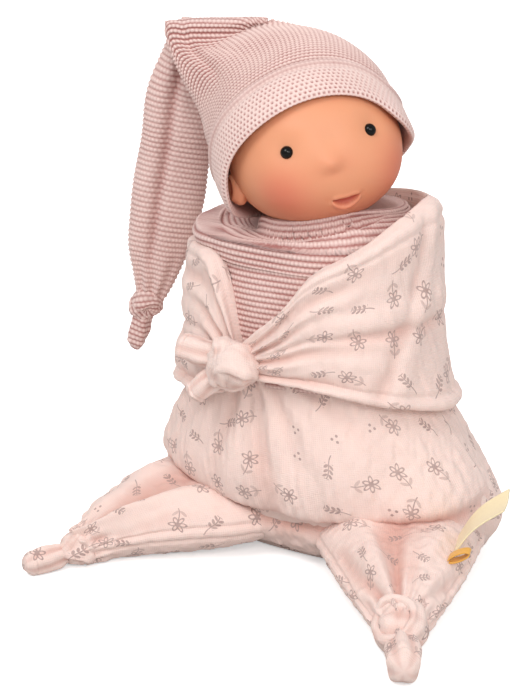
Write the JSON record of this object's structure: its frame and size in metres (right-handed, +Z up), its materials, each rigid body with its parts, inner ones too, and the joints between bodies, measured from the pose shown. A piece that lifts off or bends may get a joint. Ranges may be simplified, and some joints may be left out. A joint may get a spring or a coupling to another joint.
{
  "type": "baby doll",
  "caption": "Sitting comforter baby doll: soft vinyl head in a long knotted knit cap, knitted body with a cowl, and a muslin sack whose corners are knotted as arms and legs.",
  "frame": {"origin": "on the floor under the seat, in the flat underside of the sack", "axes": "+Z up; the body faces -Y, and its own left side is +X"},
  "size_m": [0.2281, 0.185, 0.2462],
  "materials": {
    "knit": "dusty pink cotton knit, garter stitch",
    "muslin": "blush double gauze with a small printed sprig",
    "skin": "soft rotocast vinyl, satin, blushed cheeks",
    "bead": "polished black",
    "fitting": "natural nylon",
    "stuffing": "loose polyester fibre",
    "label": "woven satin, blank",
    "ribbon": "satin ribbon"
  },
  "bodies": {
    "torso": {"torso_stuffing": "stuffing", "knit_body": "knit", "knit_cowl": "knit", "muslin_front": "muslin", "muslin_back": "muslin", "wrap_left": "muslin", "wrap_right": "muslin", "chest_knot": "muslin", "knot_end_low": "muslin", "knot_end_side": "muslin"},
    "neck": {"neck_sleeve": "knit", "neck_tie": "fitting"},
    "head": {"head_shell": "skin", "eye_left": "bead", "eye_right": "bead", "eye_washer_left": "fitting", "eye_washer_right": "fitting"},
    "hat": {"hat_brim": "knit", "hat_crown": "knit"},
    "hat_end": {"hat_tail": "knit", "hat_tail_knot": "knit", "hat_tail_tip": "knit"},
    "leg_left": {"leg_left": "muslin", "leg_left_knot": "muslin", "leg_left_tip": "muslin", "label_loop": "ribbon"},
    "leg_right": {"leg_right": "muslin", "leg_right_knot": "muslin", "leg_right_tip": "muslin"},
    "label": {"label_tag": "label"}
  },
  "joints": [
    {"name": "head_nod", "type": "hinge", "parent": "torso", "child": "neck", "pos_m": [-0.0109, 0.0024, 0.1952], "axis": [0.7017, 0.683, 0.2027], "range_deg": [-8, 8]},
    {"name": "head_turn", "type": "hinge", "parent": "neck", "child": "head", "pos_m": [-0.0109, 0.0024, 0.1952], "axis": [-0.1717, -0.114, 0.9785], "range_deg": [-110, 30]},
    {"name": "hat_lift", "type": "slide", "parent": "head", "child": "hat", "axis": [-0.6603, 0.5167, 0.545], "range_m": [0, 0.08]},
    {"name": "hat_end_swing", "type": "hinge", "parent": "hat", "child": "hat_end", "pos_m": [-0.082, 0.024, 0.245], "axis": [0.866, 0.5, 0], "range_deg": [0, 75]},
    {"name": "leg_left_lift", "type": "hinge", "parent": "torso", "child": "leg_left", "pos_m": [0.0542, -0.041, 0.036], "axis": [-0.887, -0.4618, 0], "range_deg": [0, 60]},
    {"name": "leg_right_lift", "type": "hinge", "parent": "torso", "child": "leg_right", "pos_m": [-0.057, -0.0415, 0.036], "axis": [-0.8788, 0.4772, 0], "range_deg": [0, 60]},
    {"name": "label_flip", "type": "hinge", "parent": "leg_left", "child": "label", "pos_m": [0.0884, -0.047, 0.0264], "axis": [-0.2683, 0.9566, 0.1135], "range_deg": [-25, 30], "stiffness_Nm_per_rad": 0.0003}
  ]
}
